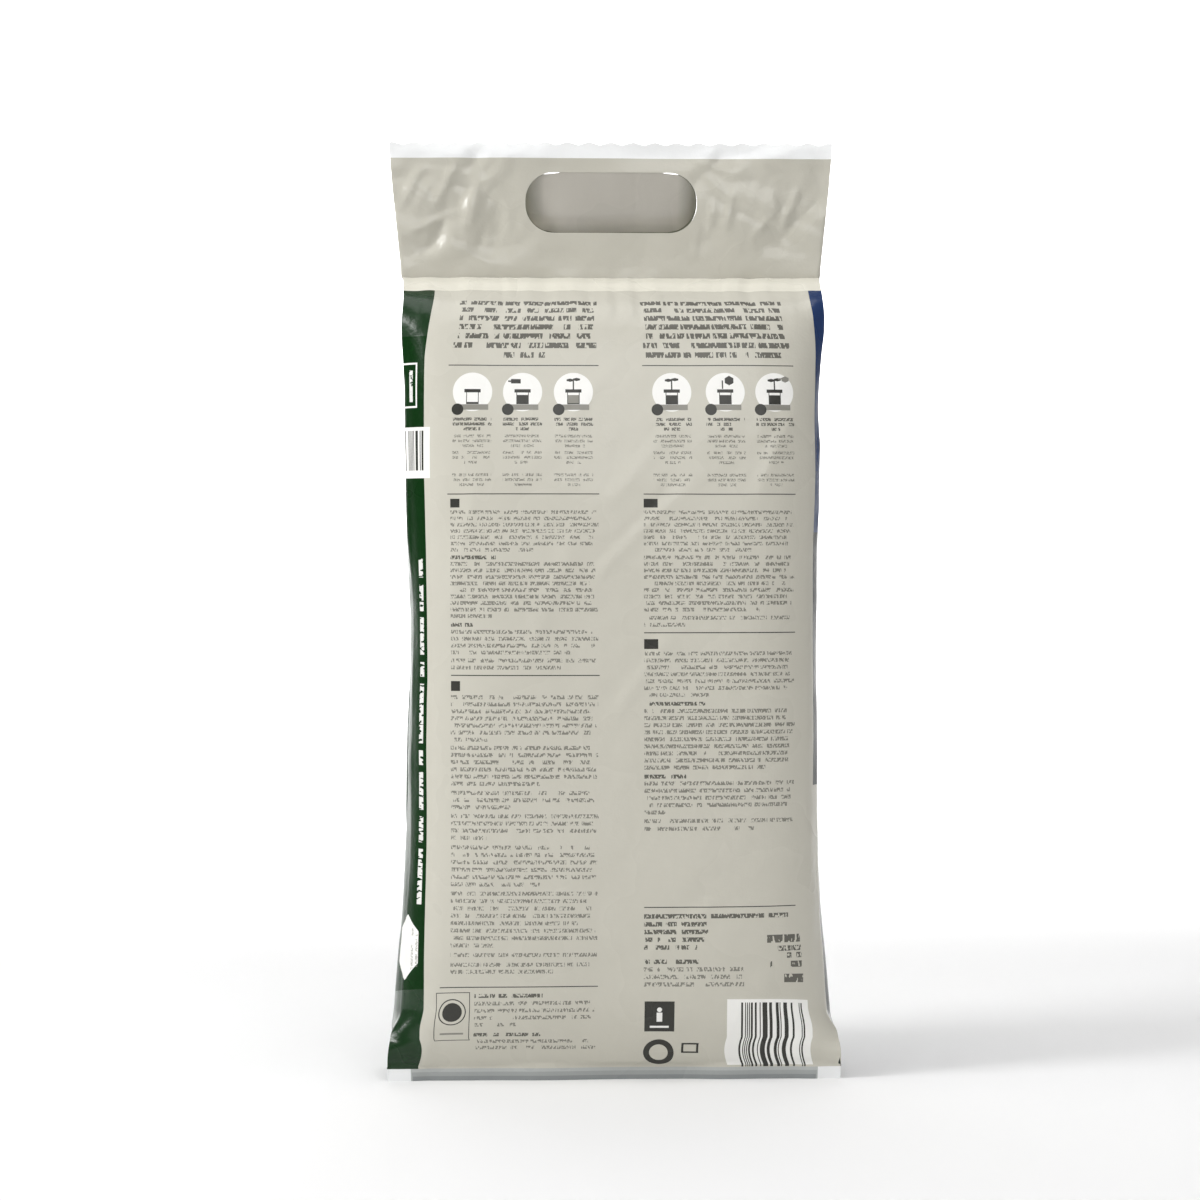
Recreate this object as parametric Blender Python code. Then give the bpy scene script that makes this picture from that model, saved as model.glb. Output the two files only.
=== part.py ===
"""Side-gusseted film bag of potting mix, 10 litre, standing on its base.

Metres, +Z up, origin on the floor under the middle of the bag. The panel with the
small print faces -Y. The bag is one tube of film, filled and sealed at both ends,
so it is one solid: bottom seal fin, filled body, flat header, punched handle flap.
"""

import math

import bmesh
import bpy
import numpy as np
from mathutils import Vector

# Film tube, laid flat.
HEIGHT = 0.500
FLAT_HALF_WIDTH = 0.118
GUSSET_DEPTH = 0.036

# Header: the flat, sealed strip above the contents.
HEADER_FOOT_Z = 0.427
HEADER_THICKNESS = 0.0024
SCALLOP_PITCH = 0.0118
SCALLOP_HEIGHT = 0.0016

# Handle slot, punched through the header and left hinged along its top.
SLOT_WIDTH = 0.0925
SLOT_HEIGHT = 0.0324
SLOT_CENTRE_Z = 0.4674
SLOT_CORNER_RADIUS = 0.0150
FLAP_GAP = 0.0009
FLAP_THICKNESS = 0.0012
FLAP_TILT = math.radians(20)

# Bottom seal: a fin that stands on the floor under the printed panel.
FIN_Y = -0.0400
FIN_TOP_Z = 0.0080
FIN_THICKNESS = 0.0024

# Filled body.
SECTION_POWER = 4.6
BASE_TURN_Z = 0.070
BASE_FLATTEN = 0.0015
GUSSET_TUCK = 0.022

# Half width of the bag against height.
WIDTH_Z = (0.000, 0.015, 0.037, 0.058, 0.080, 0.112, 0.187, 0.240, 0.283, 0.315,
           0.347, 0.369, 0.411, 0.427, 0.454, 0.475, 0.500)
WIDTH_X = (0.1188, 0.1190, 0.1170, 0.1145, 0.1118, 0.1100, 0.1080, 0.1073, 0.1085,
           0.1095, 0.1098, 0.1112, 0.1115, 0.1115, 0.1143, 0.1166, 0.1185)

# Half depth of the bag, at the middle of a panel, against height.
DEPTH_Z = (0.070, 0.110, 0.160, 0.220, 0.270, 0.310, 0.345, 0.375, 0.392, 0.404,
           0.412, 0.419, 0.424, 0.427, 0.500)
DEPTH_Y = (0.0605, 0.0625, 0.0632, 0.0625, 0.0600, 0.0560, 0.0510, 0.0452, 0.0405,
           0.0350, 0.0285, 0.0190, 0.0090, 0.0012, 0.0012)

PANEL_STEPS = 13
GUSSET_STEPS = 4


def named_collection(name):
    collection = bpy.data.collections.new(name)
    bpy.context.scene.collection.children.link(collection)
    return collection


def principled(name, colour, roughness):
    material = bpy.data.materials.new(name)
    material.use_nodes = True
    shader = material.node_tree.nodes["Principled BSDF"]
    shader.inputs["Base Color"].default_value = (*colour, 1.0)
    shader.inputs["Roughness"].default_value = roughness
    return material


def smooth(value):
    """0 to 1 with level ends."""
    value = min(max(value, 0.0), 1.0)
    return value * value * (3 - 2 * value)


def half_width(z):
    return float(np.interp(z, WIDTH_Z, WIDTH_X))


def half_depth(z):
    return float(np.interp(z, DEPTH_Z, DEPTH_Y))


def filled_quarter(half_x, half_q):
    """Points of a quarter of the filled section, from the middle of a panel to the
    middle of a gusset, evenly spaced along the film in each."""
    turn = np.linspace(0, math.pi / 2, 2000)
    x = half_x * np.sin(turn) ** (2 / SECTION_POWER)
    q = half_q * np.cos(turn) ** (2 / SECTION_POWER)
    length = np.concatenate([[0], np.cumsum(np.hypot(np.diff(x), np.diff(q)))])
    crease = length[-1] * FLAT_HALF_WIDTH / (FLAT_HALF_WIDTH + GUSSET_DEPTH)
    panel = np.linspace(0, crease, PANEL_STEPS + 1)
    gusset = np.linspace(crease, length[-1], GUSSET_STEPS + 1)[1:]
    at = np.concatenate([panel, gusset])
    return np.interp(at, length, x), np.interp(at, length, q)


def flat_quarter(half_x, half_q):
    """The same points with the film pressed flat."""
    panel = np.linspace(0, half_x, PANEL_STEPS + 1)
    gusset = np.full(GUSSET_STEPS, half_x)
    x = np.concatenate([panel, gusset])
    fall = np.linspace(1, 0, GUSSET_STEPS + 1)[1:]
    q = np.concatenate([np.full(PANEL_STEPS + 1, half_q), half_q * fall])
    return x, q


def section(front, rear, flatness, half_x):
    """One closed ring of the bag. front and rear are (y, z) of the middles of the two
    panels, and flatness runs from 0, filled, to 1, pressed flat."""
    middle = Vector(((front[0] + rear[0]) / 2, (front[1] + rear[1]) / 2))
    across = Vector((rear[0] - front[0], rear[1] - front[1]))
    half_q = across.length / 2
    across.normalize()
    full_x, full_q = filled_quarter(half_x, half_q)
    thin_x, thin_q = flat_quarter(half_x, half_q)
    x = full_x + (thin_x - full_x) * flatness
    q = full_q + (thin_q - full_q) * flatness
    tuck = GUSSET_TUCK * 4 * flatness * (1 - flatness)
    inward = np.zeros(len(x))
    inward[PANEL_STEPS:] = np.linspace(0, 1, GUSSET_STEPS + 1)
    x = x - tuck * inward
    x = x * half_x / x.max()
    quarter = list(zip(x, q))
    outline = [(px, -pq) for px, pq in quarter]
    outline += [(px, pq) for px, pq in reversed(quarter[:-1])]
    outline += [(-px, pq) for px, pq in quarter[1:]]
    outline += [(-px, -pq) for px, pq in reversed(quarter[1:-1])]
    ring = []
    for px, pq in outline:
        ring.append((px, middle.x + across.x * pq, middle.y + across.y * pq))
    return ring


def bottom_rings():
    """Rings from the foot of the seal fin up through the base to the turn of the body."""
    rings = []
    half_fin = FIN_THICKNESS / 2
    for z in (0.0, 0.004, FIN_TOP_Z):
        front = (FIN_Y - half_fin, z)
        rear = (FIN_Y + half_fin, z)
        rings.append(section(front, rear, 1.0, half_width(z)))
    front_path = ((-0.0420, 0.0090), (-0.0450, 0.0140), (-0.0500, 0.0240),
                  (-0.0550, 0.0400), (-0.0605, BASE_TURN_Z))
    rear_path = ((-0.0375, 0.0065), (-0.0320, 0.0010), (-0.0200, 0.0000),
                 (0.0200, 0.0000), (0.0400, 0.0060), (0.0540, 0.0240),
                 (0.0605, BASE_TURN_Z))
    steps = 14
    for step in range(steps + 1):
        part = step / steps
        front_at = part ** 1.25 * (len(front_path) - 1)
        rear_at = part * (len(rear_path) - 1)
        front = [float(np.interp(front_at, range(len(front_path)), axis)) for axis in zip(*front_path)]
        rear = [float(np.interp(rear_at, range(len(rear_path)), axis)) for axis in zip(*rear_path)]
        flatness = 1 - smooth(part * 1.6) ** 0.8
        ring = section(front, rear, flatness, half_width(front[1]))
        rings.append([(x, y, flattened(z)) for x, y, z in ring])
    return rings


def flattened(z):
    """Presses the lowest film onto the floor, and leaves what is higher up."""
    reach = 0.020
    if z >= reach:
        return z
    return max(0.0, (z - BASE_FLATTEN) * reach / (reach - BASE_FLATTEN))


def upper_rings():
    """Rings of the filled body, the shoulder and the header."""
    levels = [0.090, 0.115, 0.150, 0.190, 0.230, 0.270, 0.300, 0.325, 0.345, 0.360,
              0.375, 0.387, 0.396, 0.404, 0.412, 0.419, 0.424, HEADER_FOOT_Z, 0.440,
              0.462, 0.485, HEIGHT - SCALLOP_HEIGHT - 0.001]
    rings = []
    for z in levels:
        depth = half_depth(z)
        full = 0.0632
        flatness = 1.0
        if z < HEADER_FOOT_Z:
            flatness = smooth((z - 0.25) / 0.20) * (1 - depth / full) / 0.98
        front = (-depth, z)
        rear = (depth, z)
        rings.append(section(front, rear, min(flatness, 1.0), half_width(z)))
    return rings


def loft(name, rings, collection, material):
    mesh = bmesh.new()
    rows = []
    for ring in rings:
        rows.append([mesh.verts.new(point) for point in ring])
    count = len(rows[0])
    for lower, upper in zip(rows, rows[1:]):
        for k in range(count):
            after = (k + 1) % count
            mesh.faces.new((lower[k], lower[after], upper[after], upper[k]))
    mesh.faces.new(list(reversed(rows[0])))
    mesh.faces.new(rows[-1])
    bmesh.ops.triangulate(mesh, faces=[face for face in mesh.faces if len(face.verts) > 4])
    bmesh.ops.recalc_face_normals(mesh, faces=mesh.faces)
    data = bpy.data.meshes.new(name)
    mesh.to_mesh(data)
    mesh.free()
    obj = bpy.data.objects.new(name, data)
    obj.data.materials.append(material)
    collection.objects.link(obj)
    return obj


def plate(name, outline, thickness, collection):
    """A flat plate in the XZ plane, half its thickness each side of y = 0."""
    mesh = bmesh.new()
    corners = [mesh.verts.new((x, -thickness / 2, z)) for x, z in outline]
    face = mesh.faces.new(corners)
    grown = bmesh.ops.extrude_face_region(mesh, geom=[face])
    moved = [item for item in grown["geom"] if isinstance(item, bmesh.types.BMVert)]
    bmesh.ops.translate(mesh, verts=moved, vec=(0, thickness, 0))
    bmesh.ops.recalc_face_normals(mesh, faces=mesh.faces)
    data = bpy.data.meshes.new(name)
    mesh.to_mesh(data)
    mesh.free()
    obj = bpy.data.objects.new(name, data)
    collection.objects.link(obj)
    return obj


def rounded_slot(width, height, radius, steps=7):
    """Outline of a slot with round ends, about its own middle."""
    outline = []
    for turn, (sign_x, sign_z) in enumerate(((1, 1), (-1, 1), (-1, -1), (1, -1))):
        centre_x = sign_x * (width / 2 - radius)
        centre_z = sign_z * (height / 2 - radius)
        for step in range(steps + 1):
            angle = math.radians(90 * turn + 90 * step / steps)
            outline.append((centre_x + radius * math.cos(angle), centre_z + radius * math.sin(angle)))
    return outline


def boolean(target, other, operation):
    modifier = target.modifiers.new(operation.title(), "BOOLEAN")
    modifier.operation = operation
    modifier.solver = "EXACT"
    modifier.object = other


def hidden(obj):
    obj.hide_render = True
    obj.display_type = "WIRE"
    return obj


for leftover in list(bpy.data.objects):
    bpy.data.objects.remove(leftover, do_unlink=True)

bag_collection = named_collection("compost_bag")
cutters = named_collection("cutters")
cutters.hide_render = True

film = principled("film", (0.61, 0.58, 0.50), 0.38)

bag = loft("bag", bottom_rings() + upper_rings(), bag_collection, film)

# Scalloped top edge: a comb of low teeth, the width of the header.
top_foot = HEIGHT - 0.006
teeth = []
tooth_count = 20
for tooth in range(2 * tooth_count + 1):
    x = FLAT_HALF_WIDTH - tooth * FLAT_HALF_WIDTH / tooth_count
    fall = SCALLOP_HEIGHT if tooth % 2 == 0 else 0.0
    teeth.append((x, HEIGHT - fall))
teeth += [(-FLAT_HALF_WIDTH, top_foot), (FLAT_HALF_WIDTH, top_foot)]
comb = hidden(plate("top_comb", teeth, HEADER_THICKNESS * 0.98, cutters))
boolean(bag, comb, "UNION")

# Handle slot.
slot_outline = [(x, z + SLOT_CENTRE_Z) for x, z in rounded_slot(SLOT_WIDTH, SLOT_HEIGHT, SLOT_CORNER_RADIUS)]
slot = hidden(plate("slot_cutter", slot_outline, 0.020, cutters))
boolean(bag, slot, "DIFFERENCE")

# The punched piece, hinged along its top and pushed back.
flap_height = SLOT_HEIGHT - FLAP_GAP
flap_outline = [(x, z - flap_height / 2) for x, z in
                rounded_slot(SLOT_WIDTH - 2 * FLAP_GAP, flap_height, SLOT_CORNER_RADIUS)]
hinge_half = SLOT_WIDTH / 2 - SLOT_CORNER_RADIUS - 0.003
flap_outline = flap_outline[:8] + [(hinge_half, 0), (hinge_half, 0.0022), (-hinge_half, 0.0022),
                                   (-hinge_half, 0)] + flap_outline[8:]
flap = hidden(plate("flap", flap_outline, FLAP_THICKNESS, cutters))
flap.rotation_euler = (FLAP_TILT, 0, 0)
flap.location = (0, 0, SLOT_CENTRE_Z + SLOT_HEIGHT / 2)
boolean(bag, flap, "UNION")
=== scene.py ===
import math

import bmesh
import bpy
import numpy as np
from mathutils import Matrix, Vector, noise


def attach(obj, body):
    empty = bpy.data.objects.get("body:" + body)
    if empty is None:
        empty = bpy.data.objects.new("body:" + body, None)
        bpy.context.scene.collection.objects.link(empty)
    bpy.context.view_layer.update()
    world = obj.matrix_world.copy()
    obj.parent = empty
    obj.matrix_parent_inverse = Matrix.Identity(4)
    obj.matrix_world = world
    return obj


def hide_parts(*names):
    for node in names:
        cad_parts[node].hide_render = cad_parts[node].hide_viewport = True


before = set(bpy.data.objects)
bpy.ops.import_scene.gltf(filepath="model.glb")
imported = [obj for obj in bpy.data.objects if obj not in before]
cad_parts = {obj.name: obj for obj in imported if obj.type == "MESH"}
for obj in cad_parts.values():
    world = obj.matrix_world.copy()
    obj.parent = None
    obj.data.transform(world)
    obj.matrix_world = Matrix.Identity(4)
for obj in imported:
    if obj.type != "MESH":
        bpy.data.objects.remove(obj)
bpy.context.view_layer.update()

MM = 0.001


def linear(code):
    """An sRGB hex colour as linear RGBA."""
    channels = [int(code[at:at + 2], 16) / 255 for at in (1, 3, 5)]
    return [c / 12.92 if c < 0.04045 else ((c + 0.055) / 1.055) ** 2.4 for c in channels] + [1.0]


def add(tree, kind, inputs=None, **settings):
    """Adds a node, sets it, and links or fills each input given by name or place."""
    made = tree.nodes.new(kind)
    for key, value in settings.items():
        setattr(made, key, value)
    for key, value in (inputs or {}).items():
        if isinstance(value, bpy.types.NodeSocket):
            tree.links.new(value, made.inputs[key])
        else:
            made.inputs[key].default_value = value
    return made


# ---------------------------------------------------------------------------
# Film tube: the bag itself. One length of printed polyethylene tube, about
# 0.1 mm thick, with a gusset folded into each side, filled, and heat sealed
# across the foot and across the top of the header.

panel_half = 118.0                       # mm of film from the middle of a panel to its crease
gusset_half = 36.0                       # mm of film from that crease to the middle of the gusset
panel_steps = 60
gusset_steps = 18
section_power = 4.6                      # of the superellipse: high, so the panels are flat
gusset_tuck = 30.0                       # how far the gussets fold inwards at the shoulder
header_foot = 427.0                      # height of the seal that closes the body
fin_y = -40.0                            # the bottom seal stands under the printed panel
fullest = 62.4                           # greatest half depth

# Half the width, then half the depth, against height, and the paths that the
# middles of the two panels take round the foot. All in mm.
width_z = (0, 8, 15, 25, 37, 58, 80, 112, 144, 187, 240, 283, 315, 347, 369, 411, 419, 427,
           433, 454, 475, 500)
width_x = (119.8, 120.4, 120.2, 119.2, 117.6, 114.9, 112.4, 110.6, 109.4, 108.9, 108.2, 109.2, 109.9,
           109.4, 110.2, 111.6, 111.5, 112, 112.8, 115.3, 117.7, 119.6)
depth_z = (70, 110, 160, 220, 270, 310, 345, 375, 392, 404, 412, 419, 424, 427, 500)
depth_y = (59.0, 61.5, 62.4, 61.6, 59.2, 55.4, 50.6, 45.0, 40.6, 35.4, 29.2, 20.0, 9.5, 0.5, 0.35)
front_foot = ((-40.6, 8.4), (-44.0, 13.0), (-49.5, 24.0), (-54.6, 40.0), (-59.0, 70.0))
rear_foot = ((-39.4, 7.6), (-36.5, 3.0), (-31.0, 0.2), (-18.0, 0.0), (20.0, 0.0), (38.0, 5.0),
             (52.0, 22.0), (59.0, 70.0))

quarter_turn = np.linspace(0, math.pi / 2, 3000)


def along(path, steps):
    """Points at even spacing along a path, its corners rounded by a Catmull-Rom curve."""
    path = np.array(path, float)
    ends = np.vstack([2 * path[0] - path[1], path, 2 * path[-1] - path[-2]])
    curve = []
    for a, b, c, d in zip(ends, ends[1:], ends[2:], ends[3:]):
        for t in np.linspace(0, 1, 20, endpoint=False):
            curve.append(0.5 * (2 * b + (c - a) * t + (2 * a - 5 * b + 4 * c - d) * t ** 2
                                + (3 * b - a - 3 * c + d) * t ** 3))
    curve = np.array(curve + [path[-1]])
    run = np.concatenate([[0], np.cumsum(np.hypot(*np.diff(curve, axis=0).T))])
    at = np.linspace(0, run[-1], steps)
    return np.column_stack([np.interp(at, run, axis) for axis in curve.T])


def eased(table_at, table_value, at):
    """A table read with rounded corners."""
    spread = (-6, -3, 0, 3, 6)
    return float(np.mean([np.interp(at + s, table_at, table_value) for s in spread]))


def section(front, rear, flatness, half_x):
    """A ring of the tube through the (y, z) middles of its two panels, from filled, 0, to flat, 1.
    Its columns are spaced by length of film, so print on a panel isn't stretched."""
    front, rear = np.array(front), np.array(rear)
    middle, across = (front + rear) / 2, rear - front
    half_q = np.linalg.norm(across) / 2
    across = across / np.linalg.norm(across)
    x = half_x * np.sin(quarter_turn) ** (2 / section_power)
    q = half_q * np.cos(quarter_turn) ** (2 / section_power)
    run = np.concatenate([[0], np.cumsum(np.hypot(np.diff(x), np.diff(q)))])
    crease = min(panel_half, run[-1] - 0.6 * gusset_half)
    at = np.concatenate([np.linspace(0, crease, panel_steps + 1),
                         np.linspace(crease, run[-1], gusset_steps + 1)[1:]])
    full = np.column_stack([np.interp(at, run, x), np.interp(at, run, q)])
    flat_x = np.concatenate([np.linspace(0, half_x, panel_steps + 1), np.full(gusset_steps, half_x)])
    flat_q = half_q * np.concatenate([np.ones(panel_steps + 1),
                                      np.linspace(1, 0, gusset_steps + 1)[1:]])
    mixed = full + (np.column_stack([flat_x, flat_q]) - full) * flatness
    inward = np.concatenate([np.zeros(panel_steps), np.linspace(0, 1, gusset_steps + 1)])
    mixed[:, 0] -= gusset_tuck * 4 * flatness * (1 - flatness) * inward ** 1.15
    widest = mixed[:, 0].max()
    mixed[:, 0] += (half_x - widest) * (mixed[:, 0] / widest) ** 6
    x, q = mixed.T
    x = np.concatenate([x, x[-2::-1], -x[1:], -x[-2:0:-1]])
    q = np.concatenate([-q, q[-2::-1], q[1:], -q[-2:0:-1]])
    return np.column_stack([x, middle[0] + across[0] * q, middle[1] + across[1] * q])


def ease(value):
    value = min(max(value, 0.0), 1.0)
    return value * value * (3 - 2 * value)


# Rings from the foot of the seal, round the folded base, up the body and the header.
rings = []
for z in (0.0, 1.6, 3.2, 4.8, 6.4):
    rings.append(section((fin_y - 0.5, z), (fin_y + 0.5, z), 1.0, eased(width_z, width_x, z)))
foot_steps = 62
fronts = along(front_foot, foot_steps)
rears = along(rear_foot, foot_steps)
for step in range(foot_steps):
    part = step / (foot_steps - 1)
    at = part ** 1.25 * (foot_steps - 1)
    front = np.array([np.interp(at, range(foot_steps), fronts[:, k]) for k in (0, 1)])
    flatness = 1 - ease(part * 1.6) ** 0.8
    ring = section(front, rears[step], flatness, eased(width_z, width_x, front[1]))
    lifted = ring[:, 2]
    ring[:, 2] = np.where(lifted < 20, np.maximum(0, (lifted - 1.2) * 20 / 18.8), lifted)
    rings.append(ring)
levels = np.concatenate([np.linspace(73, 380, 100), np.linspace(382, 427, 40)[:-1],
                         np.linspace(427, 500, 52)])
for z in levels:
    depth = float(np.interp(z, depth_z, depth_y)) if z > 424 else eased(depth_z, depth_y, z)
    depth = max(depth, 0.35)
    flatness = 1.0
    if z < header_foot:
        flatness = ease((z - 250) / 200) * (1 - depth / fullest) / 0.98
    rings.append(section((-depth, z), (depth, z), min(flatness, 1), eased(width_z, width_x, z)))
film = np.array(rings)
row_count, column_count = film.shape[:2]

# Film coordinates in mm: u runs round the tube from the middle of the printed panel, v up it.
quarter_u = np.concatenate([np.linspace(0, panel_half, panel_steps + 1),
                            np.linspace(panel_half, panel_half + gusset_half, gusset_steps + 1)[1:]])
half_u = np.concatenate([quarter_u, 2 * quarter_u[-1] - quarter_u[-2::-1]])
film_u = np.concatenate([half_u, -half_u[-2:0:-1]])
front_line = film[:, 0, 1:]
climb = np.concatenate([[0], np.cumsum(np.linalg.norm(np.diff(front_line, axis=0), axis=1))])
film_v = climb - np.interp(200, front_line[:, 1], climb) + 200
grid_u = np.broadcast_to(film_u, (row_count, column_count))
grid_v = np.broadcast_to(film_v[:, None], (row_count, column_count))


def normals_of(points):
    round_way = np.roll(points, -1, axis=1) - np.roll(points, 1, axis=1)
    up_way = np.gradient(points, axis=0)
    found = np.cross(round_way, up_way)
    return found / np.maximum(np.linalg.norm(found, axis=2, keepdims=True), 1e-9)


def window(value, low, high, soft):
    """1 between low and high, falling to 0 over soft outside them."""
    rise = np.clip((value - low) / soft + 1, 0, 1)
    fall = np.clip((high - value) / soft + 1, 0, 1)
    return (rise * rise * (3 - 2 * rise)) * (fall * fall * (3 - 2 * fall))


def ripple(u, v, size_u, size_v, seed, turn=0.0):
    """Smooth noise between about -1 and 1 over the film, its size in mm."""
    cu, cv = math.cos(turn), math.sin(turn)
    a = (u * cu + v * cv) / size_u
    b = (v * cu - u * cv) / size_v
    flat = [noise.noise(Vector((x, y, seed))) for x, y in zip(a.ravel(), b.ravel())]
    return np.array(flat).reshape(u.shape)


def crease(u, v, start, end, width, height):
    """A fold line in the film from start to end, steep on one side, fading at its ends."""
    start, end = np.array(start, float), np.array(end, float)
    length = np.linalg.norm(end - start)
    way = (end - start) / length
    du, dv = u - start[0], v - start[1]
    t = (du * way[0] + dv * way[1]) / length
    side = (dv * way[0] - du * way[1]) / width
    profile = np.exp(-np.abs(side) ** 1.4)
    profile = profile - 0.45 * np.exp(-((side - 1.6) / 1.1) ** 2)
    return height * profile * window(t, 0.25, 0.75, 0.3)


front_side = np.where(np.abs(grid_u) <= 154, 1.0, 0.0)
back_u = np.where(grid_u > 0, 308 - grid_u, -308 - grid_u)
sheet_u = np.where(front_side > 0, grid_u, -back_u)
height = film[:, :, 2]
x_mm = film[:, :, 0]

# Header: the loose film above the contents buckles a little as one sheet.
in_header = window(height, 433, 492, 10)
above = np.clip((height - header_foot) / 73, 0, 1)
bow = 1.6 * ripple(x_mm, height, 70, 60, 3.1, 0.5) + 0.9 * ripple(x_mm, height, 26, 34, 8.7, -0.6)
bow += 0.9 * np.sin(x_mm / 31 + 0.6) * above
left_crush = window(x_mm, -120, -72, 34) * window(height, 446, 500, 14)
right_crush = window(x_mm, 58, 118, 20) * window(height, 448, 500, 12)
crush = left_crush + 0.55 * right_crush + 0.12
warp = 5 * ripple(x_mm, height, 24, 24, 1.9)
folds = 0
for long, wide, seed, lean, rise in ((60, 21, 5.5, 0.75, 1.5), (44, 15, 2.2, -0.5, 1.0),
                                     (30, 10, 7.9, 1.2, 0.5)):
    ridge = 1 - np.abs(ripple(x_mm + warp, height - warp, long, wide, seed, lean)) * 3.0
    folds = folds + rise * np.maximum(ridge, -0.6)
bow += crush * folds * window(height, 440, 492, 12)
for start, end, width, rise in (
        ((-84, 491), (-94, 463), 4.0, 1.5), ((-114, 478), (-88, 462), 4.5, 1.6),
        ((-111, 450), (-82, 463), 3.6, 1.5),
        ((-70, 486), (-78, 456), 4.2, 1.2), ((-100, 490), (-112, 466), 4.0, 1.1),
        ((-57, 472), (-55, 446), 4.5, 0.8),
        ((-92, 448), (-64, 434), 3.4, 0.8), ((46, 490), (68, 482), 2.4, 1.0),
        ((50, 484), (64, 468), 2.6, 1.1),
        ((65, 476), (62, 452), 2.8, 1.4), ((56, 470), (52, 448), 2.4, 1.0), ((48, 458), (44, 436), 2.4, 0.6),
        ((101, 478), (95, 460), 2.0, 1.2), ((96, 466), (93, 452), 2.2, 1.0), ((76, 448), (88, 462), 2.4, 0.9),
        ((86, 474), (90, 462), 2.0, 0.6)):
    fold_start, fold_end = np.array(start, float), np.array(end, float)
    fold_way = (fold_end - fold_start) / np.linalg.norm(fold_end - fold_start)
    off_x, off_z = x_mm - start[0] + 0.5 * warp, height - start[1]
    run = (off_x * fold_way[0] + off_z * fold_way[1]) / np.linalg.norm(fold_end - fold_start)
    side = np.abs(off_z * fold_way[0] - off_x * fold_way[1]) / width
    bow -= rise * np.maximum(1 - side, 0) ** 1.15 * window(run, 0.3, 0.7, 0.4)
film[:, :, 1] += bow * in_header
film[:, :, 1] += 0.8 * np.sin(x_mm / 24) * window(height, 492, 500, 8)

# Body: the film lies over loose mix, so it is full of low hollows and long soft pulls.
normal = normals_of(film)
body = window(height, 26, 398, 22)
relief = 1.15 * ripple(sheet_u, height, 64, 82, 1.3, 0.5) * body
relief += 0.55 * ripple(sheet_u, height, 30, 44, 6.4, -0.55) * body
relief += 0.20 * ripple(sheet_u, height, 11, 26, 9.9, -0.7) * body
relief += 0.07 * ripple(sheet_u, height, 5, 6, 4.2) * body
for start, end, width, rise in (
        ((-16, 262), (42, 318), 3.4, 0.60), ((-8, 300), (38, 356), 4.0, 0.50),
        ((-4, 190), (34, 244), 3.6, 0.50), ((-50, 214), (-18, 300), 5.0, 0.45),
        ((-92, 236), (-70, 330), 4.5, 0.50), ((52, 148), (92, 196), 4.0, 0.40),
        ((-82, 84), (-48, 142), 4.2, 0.40), ((70, 300), (100, 366), 4.0, 0.45),
        ((8, 60), (54, 96), 4.0, 0.40), ((-40, 330), (-4, 376), 3.6, 0.40)):
    relief += crease(sheet_u, height, start, end, width, rise) * front_side
    relief += crease(sheet_u, height, (end[0], start[1]), (start[0], end[1]), width, rise) * (1 - front_side)

# Shoulder: the film is gathered into the header, so it puckers under the fold.
gather = window(height, 408, 424, 9)
relief += 0.75 * ripple(sheet_u, height * 0, 9, 1, 7.7) * gather
relief += 0.35 * ripple(sheet_u, height * 0.2, 4, 9, 2.9) * gather

# Foot: short pleats run up from the seal, deepest at the corners.
foot = window(height, 9, 22, 16) * window(film[:, :, 1], -70, -36, 6)
relief += (0.14 + 0.5 * window(np.abs(x_mm), 97, 120, 18)) * ripple(sheet_u, height * 0.3, 8, 14, 3.3) * foot
fin = window(height, 0, 7, 3) * window(film[:, :, 1], -42, -38, 1)

# Gussets: a soft inward fold with slanting creases towards the shoulder and the foot.
side_on = window(np.abs(grid_u), 122, 186, 10)
relief += 1.2 * ripple(grid_u, grid_v, 22, 60, 5.1, 0.35) * side_on * body
slants = 1 - 2 * np.abs(ripple(grid_u, grid_v, 15, 70, 8.2, -0.3))
relief += 0.8 * slants * side_on * window(height, 300, 410, 60)
for fold_u, wide, rise in ((154, 2.4, -1.3), (118, 1.7, 0.5), (190, 1.7, 0.5)):
    relief += rise * np.exp(-((np.abs(grid_u) - fold_u) / wide) ** 2) * body
film += normal * relief[:, :, None]
film[:, :, 1] += fin * (1.0 * np.sin(x_mm / 19 + 1) + 1.6 * ripple(x_mm, height * 0, 26, 1, 4.4))
film[:, :, 1] -= fin * 2.2 * window(np.abs(x_mm), 108, 120, 12)
film[:, :, 2] = np.where(height < 1.5, np.maximum(film[:, :, 2], 0), film[:, :, 2])
film[:, :, 2] = np.maximum(film[:, :, 2], 0)

# Top edge: cut with a toothed knife, 11.8 mm from tooth to tooth.
tooth = np.abs(((film[:, :, 0] / 11.8) % 1) - 0.5) * 2
film[:, :, 2] -= 1.8 * (1 - tooth) * window(height, 499.5, 501, 4)


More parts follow.
